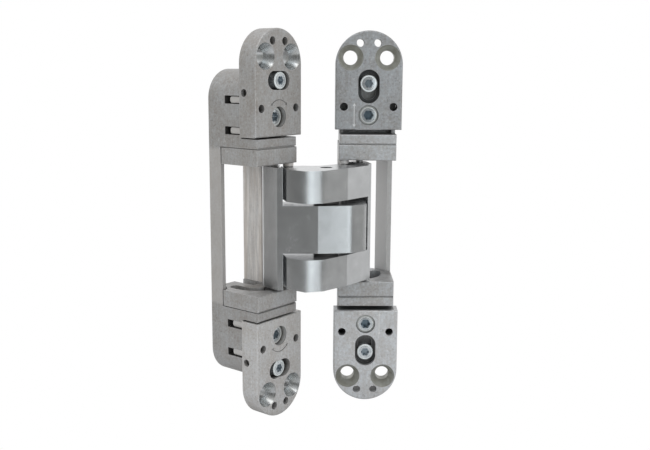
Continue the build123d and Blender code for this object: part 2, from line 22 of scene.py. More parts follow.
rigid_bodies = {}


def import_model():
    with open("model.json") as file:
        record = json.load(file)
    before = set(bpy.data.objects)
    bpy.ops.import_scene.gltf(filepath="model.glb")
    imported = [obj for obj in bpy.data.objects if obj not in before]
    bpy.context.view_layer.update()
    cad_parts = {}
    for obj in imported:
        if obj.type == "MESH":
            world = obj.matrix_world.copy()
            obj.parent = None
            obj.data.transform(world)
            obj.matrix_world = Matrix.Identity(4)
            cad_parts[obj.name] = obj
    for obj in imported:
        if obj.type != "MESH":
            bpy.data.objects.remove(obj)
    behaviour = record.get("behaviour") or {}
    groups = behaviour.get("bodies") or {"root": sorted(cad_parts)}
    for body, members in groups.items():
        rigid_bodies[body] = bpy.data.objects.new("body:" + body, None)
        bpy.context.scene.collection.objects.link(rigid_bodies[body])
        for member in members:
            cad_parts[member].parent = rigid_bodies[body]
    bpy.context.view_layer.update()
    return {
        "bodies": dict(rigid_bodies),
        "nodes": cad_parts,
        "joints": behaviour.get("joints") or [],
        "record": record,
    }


log = logging.getLogger("hinge")

MM = 0.001

UP = Vector((0.0, 0.0, 1.0))
LEVEL = Vector((1.0, 1.0, 0.0))
WHITE = (1.0, 1.0, 1.0)

# Sockets of a Mix node that mixes colours, and the offset and power of the display curve.
MIX_FACTOR, MIX_LOW, MIX_HIGH, MIX_COLOUR = 0, 6, 7, 2
CURVE_OFFSET, CURVE_POWER = 0.055, 2.4

# Depth in millimetres that lies just short of the plates' back.
PLATE_BACK = 8.3

# How far edges take their painted highlight with wear, how far painted shade with grime reaches
# into corners, and how finely both are sampled.
EDGE_RADIUS, EDGE_SAMPLES = 0.35 * MM, 6
GRIME_SHADE_REACH, GRIME_SHADE_SAMPLES = 1.6 * MM, 4
ROUND_SAMPLES = 10

Colour = tuple[float, float, float]
Weights = tuple[float, ...]
# The values at which a smooth step is 0 and 1.
Band = tuple[float, float]
# Depth of a height of 1 in millimetres, and strength of the bump.
Relief = tuple[float, float]

EDGE_BAND: Band = (0.004, 0.12)
GRIME_SHADE_BAND: Band = (0.15, 0.75)
NOSE_BAND: Band = (0.45, 0.75)


class Leaf(Enum):
    """The two leaves that the hinge joins, each with its own frame.

    A leaf's frame has its origin on the front face at mid height. Across points towards the
    other leaf and out points away from the face.
    """

    JAMB = "jamb"
    DOOR = "door"

    @property
    def origin(self) -> Vector:
        """Middle of the front face, in metres."""
        places = {Leaf.JAMB: (0.0, -8.4, 0.0), Leaf.DOOR: (-37.5195, -26.3763, 0.0)}
        return Vector(places[self]) * MM

    @property
    def across(self) -> Vector:
        """Direction towards the other leaf."""
        ways = {Leaf.JAMB: (-1.0, 0.0, 0.0), Leaf.DOOR: (0.6266038, 0.7793380, 0.0)}
        return Vector(ways[self])

    @property
    def out(self) -> Vector:
        """Direction out of the front face."""
        ways = {Leaf.JAMB: (0.0, -1.0, 0.0), Leaf.DOOR: (0.7793380, -0.6266038, 0.0)}
        return Vector(ways[self])

    @property
    def plate_shift(self) -> float:
        """How far the plates stand towards the other leaf, in millimetres."""
        return 0.0 if self is Leaf.JAMB else 1.25


class End(Enum):
    """Upper or lower end of a leaf, with its sign along Z."""

    UPPER = 1
    LOWER = -1


class Wire:
    """A node output in a material, with the operators that its shader maths needs."""

    def __init__(self, graph: Graph, socket: Any) -> None:
        """Keep the graph that the socket belongs to, and the socket."""
        self.graph = graph
        self.socket = socket

    def _maths(self, operation: str, *values: Any) -> Wire:
        """Add a Math node.

        Args:
            operation: name of the Math node's operation.
            values: numbers or wires for its inputs.

        Returns:
            The node's output.
        """
        return self.graph.node("ShaderNodeMath", {"operation": operation}, dict(enumerate(values)))

    def __add__(self, other: Any) -> Wire:
        """Sum of this value and another."""
        return self._maths("ADD", self, other)

    __radd__ = __add__

    def __sub__(self, other: Any) -> Wire:
        """This value less another."""
        return self._maths("SUBTRACT", self, other)

    def __rsub__(self, other: Any) -> Wire:
        """Another value less this one."""
        return self._maths("SUBTRACT", other, self)

    def __mul__(self, other: Any) -> Wire:
        """Product of this value and another."""
        return self._maths("MULTIPLY", self, other)

    __rmul__ = __mul__

    def __truediv__(self, other: Any) -> Wire:
        """This value over another."""
        return self._maths("DIVIDE", self, other)

    def __lt__(self, other: Any) -> Wire:
        """1 where this value is below another."""
        return self._maths("LESS_THAN", self, other)

    def __gt__(self, other: Any) -> Wire:
        """1 where this value is above another."""
        return self._maths("GREATER_THAN", self, other)

    def __neg__(self) -> Wire:
        """This value with its sign changed."""
        return self._maths("MULTIPLY", self, -1.0)

    def __abs__(self) -> Wire:
        """Size of this value."""
        return self._maths("ABSOLUTE", self)

    def larger(self, other: Any) -> Wire:
        """The larger of this value and another."""
        return self._maths("MAXIMUM", self, other)

    def root(self) -> Wire:
        """Square root of this value."""
        return self._maths("SQRT", self)

    def swing(self, size: float) -> Wire:
        """How far this noise stands from its middle, times a size."""
        return (self - 0.5) * size

    def between(self, low: float, high: float) -> Wire:
        """A number that is low where this mask is 0 and high where it is 1."""
        return self * (high - low) + low

    def ramp(self, low: float, high: float) -> Wire:
        """Smooth rise from 0 at one value to 1 at another.

        Args:
            low: value that gives 0.
            high: value that gives 1.

        Returns:
            The smoothed step.
        """
        settings = {"interpolation_type": "SMOOTHSTEP"}
        values = {"Value": self, "From Min": low, "From Max": high}
        return self.graph.node("ShaderNodeMapRange", settings, values)


def weighted(values: Sequence[Wire], weights: Weights) -> Wire:
    """Sum of values, each times its weight."""
    first, *others = (value * weight for value, weight in zip(values, weights))
    return sum(others, first)


@dataclass(frozen=True)
class Pattern:
    """Noise on Object coordinates, with its rough size in millimetres.

    Octaves counts its finer parts and rough is their strength. Scale, where there is one,
    multiplies the coordinates first, so a scale below 1 stretches the pattern that way.
    """

    size: float
    octaves: float = 3.0
    rough: float = 0.55
    scale: tuple[float, float, float] | None = None


class Graph:
    """Node tree of one material or world."""

    def __init__(self, tree: Any) -> None:
        """Empty the tree."""
        self.tree = tree
        tree.nodes.clear()

    def node(
        self,
        kind: str,
        settings: Mapping[str, Any] | None = None,
        values: Mapping[Any, Any] | None = None,
        output: Any = 0,
    ) -> Wire:
        """Add any node.

        Args:
            kind: the node's type.
            settings: its properties; a ramp's stops are a list of position and colour.
            values: numbers, colours or wires for its inputs, by name or index.
            output: name or index of the output wanted.

        Returns:
            That output.
        """
        made = self.tree.nodes.new(kind)
        for name, value in (settings or {}).items():
            if name == "stops":
                self._stops(made.color_ramp, value)
            else:
                setattr(made, name, value)
        for name, value in (values or {}).items():
            if isinstance(value, Wire):
                self.tree.links.new(value.socket, made.inputs[name])
            else:
                made.inputs[name].default_value = value
        return Wire(self, made.outputs[output]) if len(made.outputs) else Wire(self, made)

    @staticmethod
    def _stops(ramp: Any, stops: Sequence[tuple[float, Colour]]) -> None:
        """Set a colour ramp's stops.

        Args:
            ramp: the colour ramp.
            stops: positions and colours.
        """
        while len(ramp.elements) < len(stops):
            ramp.elements.new(1.0)
        for element, (place, colour) in zip(ramp.elements, stops):
            element.position = place
            element.color = (*colour, 1.0)

    def noise(self, point: Wire, pattern: Pattern) -> Wire:
        """Noise of a pattern, from 0 to 1.

        Args:
            point: Object coordinates.
            pattern: the pattern wanted.

        Returns:
            The noise value.
        """
        if pattern.scale is not None:
            values = {"Vector": point, "Scale": pattern.scale}
            point = self.node("ShaderNodeMapping", {"vector_type": "POINT"}, values)
        values = {"Vector": point, "Scale": 1 / (pattern.size * MM)}
        values |= {"Detail": pattern.octaves, "Roughness": pattern.rough}
        return self.node("ShaderNodeTexNoise", {"noise_dimensions": "3D"}, values)

    def rings(self, radius: Wire, size: float) -> Wire:
        """Noise along a radius alone, from 0 to 1, for rings of a size in the radius's unit."""
        values = {"W": radius, "Scale": 1 / size, "Detail": 2.0}
        return self.node("ShaderNodeTexNoise", {"noise_dimensions": "1D"}, values)

    def mix(self, factor: Any, low: Any, high: Any) -> Wire:
        """Mix two colours or directions.

        Args:
            factor: share of the second one.
            low: first colour or direction.
            high: second colour or direction.

        Returns:
            The mixed colour or direction.
        """
        first, second = (end if isinstance(end, Wire) else (*end, 1.0) for end in (low, high))
        values = {MIX_FACTOR: factor, MIX_LOW: first, MIX_HIGH: second}
        return self.node("ShaderNodeMix", {"data_type": "RGBA"}, values, MIX_COLOUR)

    def vector(self, operation: str, *values: Any) -> Wire:
        """Vector maths on points or directions.

        Args:
            operation: name of the Vector Math node's operation.
            values: wires or vectors for its inputs.

        Returns:
            The node's value for a dot product, and its vector otherwise.
        """
        output = "Value" if operation == "DOT_PRODUCT" else "Vector"
        settings = {"operation": operation}
        return self.node("ShaderNodeVectorMath", settings, dict(enumerate(values)), output)

    def dot(self, first: Any, second: Any) -> Wire:
        """Dot product of two points or directions."""
        return self.vector("DOT_PRODUCT", first, second)

    def facing(self) -> Wire:
        """The surface's own normal."""
        return self.node("ShaderNodeNewGeometry", output="Normal")

    def bump(self, height: Wire, relief: Relief, normal: Wire | None = None) -> Wire:
        """Bumped normal.

        Args:
            height: height from 0 to 1.
            relief: depth and strength of the bump.
            normal: normal to start from.

        Returns:
            The bumped normal.
        """
        depth, strength = relief
        values: dict[str, Any] = {"Strength": strength, "Distance": depth * MM, "Height": height}
        if normal is not None:
            values["Normal"] = normal
        return self.node("ShaderNodeBump", {}, values)


def linear(grey: float, warm: float = 0.0, green: float = 0.0) -> Colour:
    """Linear colour of a display grey, by the display curve.

    Args:
        grey: display value from 0 to 255.
        warm: display steps added to red and taken from blue.
        green: display steps added to green.

    Returns:
        Linear red, green and blue.
    """
    shades = ((grey + warm) / 255, (grey + green) / 255, (grey - warm) / 255)
    return tuple(((s + CURVE_OFFSET) / (1 + CURVE_OFFSET)) ** CURVE_POWER for s in shades)


@dataclass(frozen=True)
class LeafPoint:
    """Place of a shading point in a leaf's frame, in millimetres."""

    across: Wire
    depth: Wire
    height: Wire

    @classmethod
    def read(cls, g: Graph, point: Wire, leaf: Leaf) -> LeafPoint:
        """Work out a leaf's coordinates from Object coordinates.

        Args:
            g: graph to add the nodes to.
            point: Object coordinates.
            leaf: the leaf whose frame is wanted.

        Returns:
            Distance across, depth behind the face and height.
        """
        away = g.vector("SUBTRACT", point, leaf.origin)
        across, depth = (g.dot(away, way) / MM for way in (leaf.across, -leaf.out))
        return cls(across, depth, g.dot(point, UP) / MM)

    def from_axis(self, across: float, height: float, both_ends: bool = True) -> Wire:
        """Distance from an axis square to the face.

        Args:
            across: place of the axis.
            height: height of the axis.
            both_ends: whether the axis is repeated at the other end of the leaf.

        Returns:
            Distance in millimetres.
        """
        side = self.across - across
        rise = (abs(self.height) if both_ends else self.height) - height
        return (side * side + rise * rise).root()


def worn_edge_and_highlight(g: Graph) -> Wire:
    """Mask of edges for wear with a painted highlight: 1 where a rounded-off normal turns from the
    flat one.

    Args:
        g: graph to add the nodes to.

    Returns:
        The mask.
    """
    rounded = g.node("ShaderNodeBevel", {"samples": EDGE_SAMPLES}, {"Radius": EDGE_RADIUS})
    return (1.0 - g.dot(g.facing(), rounded)).ramp(*EDGE_BAND)


def corner_grime_and_shade(g: Graph) -> Wire:
    """Mask of painted shade with grime in corners and joints: 1 where close walls hide the sky.

    Args:
        g: graph to add the nodes to.

    Returns:
        The mask.
    """
    settings, values = {"samples": GRIME_SHADE_SAMPLES}, {"Distance": GRIME_SHADE_REACH}
    return 1.0 - g.node("ShaderNodeAmbientOcclusion", settings, values, "AO").ramp(*GRIME_SHADE_BAND)


def plan_rounded(g: Graph, radius: float, nose: Wire | None = None, pull: Any = 0.0) -> Wire:
    """Normal that rounds upright edges only, as on a drawn bar, and leaves level faces flat.

    The Bevel node's normal, mixed with the nose's direction by its pull where the surface
    roughly faces that way, loses its part along Z and is weighted by how upright the face
    is. Then the face's own Z is added back, and the sum is made one long.

    Args:
        g: graph to add the nodes to.
        radius: radius of the rounding, in millimetres.
        nose: direction that a round nose would face, if there is one.
        pull: share of that direction.

    Returns:
        The rounded normal.
    """
    flat = g.facing()
    rounded = g.node("ShaderNodeBevel", {"samples": ROUND_SAMPLES}, {"Radius": radius * MM})
    if nose is not None:
        rounded = g.mix(pull * g.dot(flat, nose).ramp(*NOSE_BAND), rounded, nose)
    upright = 1.0 - abs(g.dot(flat, UP))
    share = g.node("ShaderNodeCombineXYZ", values={"X": upright, "Y": upright, "Z": 0.0})
    sideways = g.vector("MULTIPLY", g.vector("MULTIPLY", rounded, LEVEL), share)
    return g.vector("NORMALIZE", g.vector("ADD", sideways, g.vector("MULTIPLY", flat, UP)))


@dataclass(frozen=True)
class Skin:
    """What a finish gives its shader, and the share of its grain that is rubbed flat."""

    colour: Wire
    rough: Wire
    metallic: Any
    normal: Wire | None = None
    rubbed: Any = 0.0


@dataclass(frozen=True)
class Finish:
    """A named finish, worked out in Object coordinates."""

    name: str

    def build(self) -> bpy.types.Material:
        """Build the material.

        Returns:
            The new material.
        """
        material = bpy.data.materials.new(self.name)
        material.use_nodes = True
        g = Graph(material.node_tree)
        skin = self.skin(g, g.node("ShaderNodeTexCoord", output="Object"))
        look = {"Base Color": skin.colour, "Roughness": skin.rough, "Metallic": skin.metallic}
        shader = g.node("ShaderNodeBsdfPrincipled", values={**look, "Normal": skin.normal})
        g.node("ShaderNodeOutputMaterial", values={"Surface": shader})
        return material

    def skin(self, g: Graph, point: Wire) -> Skin:
        """Work out the surface; each kind of finish has its own way.

        Args:
            g: graph to add the nodes to; not used here.
            point: Object coordinates; not used here.

        Returns:
            The surface.
        """
        raise NotImplementedError(self.name)


@dataclass(frozen=True)
class Laid:
    """A colour laid over a casting, and its share.

    Its grey and warmth are steps from the casting's own, unless own_grey or own_warm says
    that they stand for themselves.
    """

    share: float
    grey: float
    warm: float = 0.0
    own_grey: bool = True
    own_warm: bool = True


@dataclass(frozen=True)
class CastZinc(Finish):
    """Raw die-cast zinc: mottled grey with a fine grain, rubbed edges with a painted highlight, and
    painted shade with grime in the corners.
    """

    leaf: Leaf
    grey: float = 160.0
    warm: float = 0.5
    spread: float = 16.0
    roughness: float = 0.44
    metallic: float = 0.55
    cloud: Pattern = Pattern(11.0, 4.0, 0.6)
    grain: Pattern = Pattern(0.8, 3.0, 0.7)
    brushing: Pattern = Pattern(0.9, 2.0, 0.6, (1.0, 1.0, 0.12))
    tone_weights: Weights = (0.32, 0.5, 0.18)
    tone_band: Band = (0.33, 0.67)
    tone_warmth: float = 3.5
    specks: Pattern = Pattern(1.0, 2.0)
    dark_band: Band = (0.6, 0.7)
    dark_speck: Laid = Laid(0.4, -52.0, 2.0)
    pale_band: Band = (0.3, 0.4)
    pale_speck: Laid = Laid(0.34, 42.0)
    grime_and_shade: Laid = Laid(0.6, -95.0, 3.0, own_warm=False)
    edge_share: float = 0.45
    edge_lift: float = 52.0
    edge_limit: float = 232.0
    edge_gloss: float = 0.1
    grain_rough: float = 0.2
    cloud_rough: float = 0.12
    fine: Pattern = Pattern(0.3, 2.0, 0.6)
    grain_weights: Weights = (0.6, 0.4)
    grain_relief: Relief = (0.06, 0.45)
    cloud_relief: Relief = (0.35, 0.22)

    def skin(self, g: Graph, point: Wire) -> Skin:
        """Lay mottle, specks, the casting's zones, painted corner shade with grime, and rubbed
        edges with a painted highlight over each other.

        Args:
            g: graph to add the nodes to.
            point: Object coordinates.

        Returns:
            The surface.
        """
        cloud = g.noise(point, self.cloud)
        grain = g.noise(point, self.grain)
        tone = weighted((cloud, grain, g.noise(point, self.brushing)), self.tone_weights)
        colour = g.mix(
            tone.ramp(*self.tone_band),
            linear(self.grey - self.spread, self.warm + self.tone_warmth),
            linear(self.grey + self.spread, self.warm - self.tone_warmth),
        )
        specks = g.noise(point, self.specks)
        colour = self.lay(g, specks.ramp(*self.dark_band), colour, self.dark_speck)
        colour = self.lay(g, 1.0 - specks.ramp(*self.pale_band), colour, self.pale_speck)
        rough = self.roughness + grain.swing(self.grain_rough) + cloud.swing(self.cloud_rough)
        place = LeafPoint.read(g, point, self.leaf)
        skin = self.zones(g, point, place, Skin(colour, rough, self.metallic))
        # Painted shade with grime: darker in corners and joints, where close walls hide the sky.
        colour = self.lay(g, corner_grime_and_shade(g), skin.colour, self.grime_and_shade)
        # Painted highlight with wear: edges turn paler.
        edge = worn_edge_and_highlight(g)
        bright = linear(min(self.grey + self.edge_lift, self.edge_limit), self.warm / 2)
        colour = g.mix(edge * self.edge_share, colour, bright)
        height = weighted((grain, g.noise(point, self.fine)), self.grain_weights)
        cast = g.bump(cloud, self.cloud_relief)
        normal = g.bump(height * (1.0 - skin.rubbed), self.grain_relief, cast)
        rough = skin.rough - edge * self.edge_gloss
        return replace(skin, colour=colour, rough=rough, normal=normal)

    def lay(self, g: Graph, mask: Wire, colour: Wire, laid: Laid) -> Wire:
        """Lay a colour over another.

        Args:
            g: graph to add the nodes to.
            mask: where it lies.
            colour: the colour below.
            laid: the colour on top, with its share.

        Returns:
            The new colour.
        """
        grey = laid.grey + (self.grey if laid.own_grey else 0.0)
        warm = laid.warm + (self.warm if laid.own_warm else 0.0)
        return g.mix(mask * laid.share, colour, linear(grey, warm))

    def zones(self, g: Graph, point: Wire, place: LeafPoint, skin: Skin) -> Skin:
        """Finish the zones that differ from the casting's skin; a plain casting has none.

        Args:
            g: graph to add the nodes to; not used here.
            point: Object coordinates; not used here.
            place: place in the leaf's frame; not used here.
            skin: the surface so far.

        Returns:
            The surface with its zones.
        """
        return skin


@dataclass(frozen=True)
class CarrierZinc(CastZinc):
    """Die-cast zinc of the carriers: a spine painted paler as painted light, painted light on its
    inner face, and painted shade in the rib grooves.
    """

    spine_band: Band = (31.5, 33.5)
    spine: Laid = Laid(0.6, 6.0, 1.0)
    spine_metallic: float = 0.25
    lit_inner_facing: float = 0.7
    lit_inner: Laid = Laid(0.75, 230.0, own_grey=False)
    groove_heights: tuple[float, ...] = ()
    groove_half: float = 1.64
    groove_start: float = 8.45
    groove_end: float = 17.25
    groove_shade: Laid = Laid(0.85, 44.0, 2.0, own_grey=False, own_warm=False)

    def zones(self, g: Graph, point: Wire, place: LeafPoint, skin: Skin) -> Skin:
        """Paint light on the spine between the blocks and on its inner face, and paint shade inside
        the grooves.

        Args:
            g: graph to add the nodes to.
            point: Object coordinates; not used here.
            place: place in the leaf's frame.
            skin: the surface so far.

        Returns:
            The surface with its zones.
        """
        rise = abs(place.height)
        # Painted light: the spine between the blocks is painted paler.
        spine = 1.0 - rise.ramp(*self.spine_band)
        colour = self.lay(g, spine, skin.colour, self.spine)
        # Painted light: the spine's face turned towards the other leaf is painted near white.
        lit_inner = spine * (g.dot(g.facing(), self.leaf.across) > self.lit_inner_facing)
        colour = self.lay(g, lit_inner, colour, self.lit_inner)
        # Painted shade inside the rib grooves.
        cut = (place.depth > self.groove_start) * (place.depth < self.groove_end)
        for height in self.groove_heights:
            groove_shade = (abs(rise - height) < self.groove_half) * cut
            colour = self.lay(g, groove_shade, colour, self.groove_shade)
        metallic = spine.between(self.metallic, self.spine_metallic)
        return replace(skin, colour=colour, metallic=metallic)


@dataclass(frozen=True)
class HousingZinc(CastZinc):
    """Die-cast zinc of the housings: a wall with streaks of flow, painted paler as painted light,
    and greasy ledges.
    """

    wall_half: float = 26.2
    wall: Laid = Laid(1.0, 24.0, 3.0)
    wall_metallic: float = 0.05
    flow: Pattern = Pattern(1.3, 3.0, 0.65, (1.0, 1.0, 0.08))
    flow_band: Band = (0.34, 0.74)
    flow_shares: Band = (0.32, 0.82)
    stains: Pattern = Pattern(2.4, 2.0, 0.5, (1.0, 1.0, 0.05))
    stain_band: Band = (0.42, 0.66)
    stain: Laid = Laid(0.4, 4.0, 11.0)
    ledge_facing: float = 0.8
    smears: Pattern = Pattern(5.0, 4.0, 0.6)
    smear_band: Band = (0.38, 0.72)
    grease: Laid = Laid(0.7, -72.0, 5.0, own_warm=False)
    grease_gloss: float = 0.14

    def zones(self, g: Graph, point: Wire, place: LeafPoint, skin: Skin) -> Skin:
        """Streak the wall lengthwise, painting it paler as painted light, and smear grease on what
        faces up or down.

        Args:
            g: graph to add the nodes to.
            point: Object coordinates.
            place: place in the leaf's frame.
            skin: the surface so far.

        Returns:
            The surface with its zones.
        """
        wall = abs(place.height) < self.wall_half
        flow = g.noise(point, self.flow).ramp(*self.flow_band).between(*self.flow_shares)
        # The wall's warm streaks of flow are its own; laying them this much paler than the casting
        # is painted light.
        colour = self.lay(g, wall * flow, skin.colour, self.wall)
        stains = g.noise(point, self.stains).ramp(*self.stain_band)
        colour = self.lay(g, wall * stains, colour, self.stain)
        ledge = abs(g.dot(g.facing(), UP)) > self.ledge_facing
        grease = g.noise(point, self.smears).ramp(*self.smear_band) * ledge
        colour = self.lay(g, grease, colour, self.grease)
        rough = skin.rough - grease * self.grease_gloss
        metallic = wall.between(self.metallic, self.wall_metallic)
        return replace(skin, colour=colour, rough=rough, metallic=metallic)


@dataclass(frozen=True)
class Countersink:
    """Turned countersink of a wood screw's hole: its place, and metal brighter than the plate's."""

    grey: float = 176.0
    warm: float = -4.0
    green: float = 0.0
    roughness: float = 0.22
    metallic: float = 0.95
    across: float = 7.7
    height: float = 69.1
    radius: float = 5.6
    start_band: Band = (0.08, 0.2)
    share: float = 0.9
    ring_size: float = 0.35
    tarnish: Pattern = Pattern(3.0, 2.0, 0.5)
    tarnish_band: Band = (0.35, 0.65)
    tone_weights: Weights = (0.5, 0.5)
    dark_steps: tuple[float, float, float] = (-22.0, 5.0, 2.0)
    pale_step: float = 18.0
    ring_rough: float = 0.1

    def lay(self, g: Graph, point: Wire, place: LeafPoint, skin: Skin) -> Skin:
        """Lay the countersinks over a plate.

        Args:
            g: graph to add the nodes to.
            point: Object coordinates.
            place: place in the plate's frame, its depth ending at the plate's back.
            skin: the plate's surface so far.

        Returns:
            The surface with its countersinks, where the grain is rubbed flat.
        """
        either_side = LeafPoint(abs(place.across), place.depth, place.height)
        from_screw = either_side.from_axis(self.across, self.height)
        sunk = place.depth.ramp(*self.start_band) * (place.depth < PLATE_BACK)
        cone = (from_screw < self.radius) * sunk
        rings = g.rings(from_screw, self.ring_size)
        tarnish = g.noise(point, self.tarnish).ramp(*self.tarnish_band)
        darker, warmer, greener = self.dark_steps
        bright = g.mix(
            weighted((rings, tarnish), self.tone_weights),
            linear(self.grey + darker, self.warm + warmer, self.green + greener),
            linear(self.grey + self.pale_step, self.warm, self.green),
        )
        rough = skin.rough * (1.0 - cone) + cone * (rings * self.ring_rough + self.roughness)
        return Skin(
            g.mix(cone * self.share, skin.colour, bright),
            rough,
            cone.between(skin.metallic, self.metallic),
            rubbed=cone,
        )


@dataclass(frozen=True)
class PlateZinc(CastZinc):
    """Die-cast zinc of the fixing plates: bright countersinks, painted shade in the slots and
    painted light on the ribs behind.
    """

    sink: Countersink = Countersink()
    mark_height: float = 46.0
    mark_reach: float = 8.5
    mark_start: Band = (0.1, 0.2)
    mark_end: Band = (0.3, 0.4)
    mark: Laid = Laid(0.6, 84.0, own_grey=False)
    round_height: float = 66.0
    inside_radius: float = 12.4
    slot_height: float = 39.0
    slot_band: Band = (0.4, 3.0)
    slot_shade: Laid = Laid(0.7, 52.0, own_grey=False)
    rib_band: Band = (8.45, 8.6)
    lit_rib: Laid = Laid(0.8, 214.0, own_grey=False)

    def zones(self, g: Graph, point: Wire, place: LeafPoint, skin: Skin) -> Skin:
        """Brighten the countersinks, colour the engraved marks, paint shade on what lies deep, and
        paint light on what lies behind.

        What lies deep counts only inside the plate's outline, which is a straight strip
        with a round end, so that the rim keeps the plate's own colour.

        Args:
            g: graph to add the nodes to.
            point: Object coordinates.
            place: place in the leaf's frame.
            skin: the surface so far.

        Returns:
            The surface with its zones.
        """
        place = replace(place, across=place.across - self.leaf.plate_shift)
        skin = self.sink.lay(g, point, place, skin)
        depth, rise = place.depth, abs(place.height)
        mark = depth.ramp(*self.mark_start) * (1.0 - depth.ramp(*self.mark_end))
        mark = mark * (place.from_axis(0.0, self.mark_height) < self.mark_reach)
        colour = self.lay(g, mark, skin.colour, self.mark)
        past = (rise - self.round_height).larger(0.0)
        from_middle = (place.across * place.across + past * past).root()
        inside = (from_middle < self.inside_radius) * (rise > self.slot_height)
        inside = inside * (depth < PLATE_BACK)
        # Painted shade: what lies deep inside the plate's outline turns darker.
        slot_shade = depth.ramp(*self.slot_band) * (1.0 - skin.rubbed) * inside
        colour = self.lay(g, slot_shade, colour, self.slot_shade)
        # Painted light: what lies behind the plate's back turns pale.
        colour = self.lay(g, depth.ramp(*self.rib_band), colour, self.lit_rib)
        return replace(skin, colour=colour)


@dataclass(frozen=True)
class SatinCoat(Finish):
    """Silver satin coating of an arm, with a very fine sparkle.

    Upright corners read as rounded by corner, and by soft_corner past the plane
    X = soft_from on the side that soft_way names, where the arm's nose is drawn softer.
    A round nose also takes the direction from its axis, given by its X and Y, and that
    fades in over nose_fade of X from the plane X = nose_from.
    """

    soft_way: int = 1
    soft_from: float = -18.0
    nose: tuple[float, float] | None = None
    nose_from: float = -20.0
    nose_fade: float = 5.0
    soft_band: Band = (-1.0, 1.0)
    corner: float = 0.25
    soft_corner: float = 4.0
    grey: float = 194.0
    warm: float = -1.5
    spread: float = 8.0
    roughness: float = 0.25
    metallic: float = 0.92
    cloud: Pattern = Pattern(6.0, 2.0, 0.5)
    sparkle: Pattern = Pattern(0.22, 2.0, 0.6)
    tone_weights: Weights = (0.45, 0.55)
    tone_band: Band = (0.3, 0.7)
    edge_share: float = 0.12
    edge_grey: float = 226.0
    sparkle_rough: float = 0.1
    cloud_rough: float = 0.04
    relief: Relief = (0.02, 0.3)

    def skin(self, g: Graph, point: Wire) -> Skin:
        """Work out the coating, with its corners rounded in shading.

        Args:
            g: graph to add the nodes to.
            point: Object coordinates.

        Returns:
            The surface.
        """
        cloud = g.noise(point, self.cloud)
        sparkle = g.noise(point, self.sparkle)
        colour = g.mix(
            weighted((cloud, sparkle), self.tone_weights).ramp(*self.tone_band),
            linear(self.grey - self.spread, self.warm),
            linear(self.grey + self.spread, self.warm),
        )
        # Painted highlight: the coating's edges turn paler.
        colour = g.mix(worn_edge_and_highlight(g) * self.edge_share, colour, linear(self.edge_grey))
        rough = self.roughness + sparkle.swing(self.sparkle_rough) + cloud.swing(self.cloud_rough)
        reach = g.dot(point, Vector((float(self.soft_way), 0.0, 0.0))) / MM
        soft = (reach - self.soft_way * self.soft_from).ramp(*self.soft_band)
        blunt = plan_rounded(g, self.soft_corner, *self.round_nose(g, point, reach))
        normal = g.bump(sparkle, self.relief, g.mix(soft, plan_rounded(g, self.corner), blunt))
        return Skin(colour, rough, self.metallic, normal)

    def round_nose(self, g: Graph, point: Wire, reach: Wire) -> tuple[Wire | None, Any]:
        """Direction from the nose's axis, and how far the surface takes it.

        Args:
            g: graph to add the nodes to.
            point: Object coordinates.
            reach: X in millimetres, with the sign of soft_way.

        Returns:
            The direction and its share.
        """
        if self.nose is None:
            return None, 0.0
        away = g.vector("SUBTRACT", point, Vector((*self.nose, 0.0)) * MM)
        start = self.soft_way * self.nose_from
        way = g.vector("NORMALIZE", g.vector("MULTIPLY", away, LEVEL))
        return way, reach.ramp(start, start + self.nose_fade)


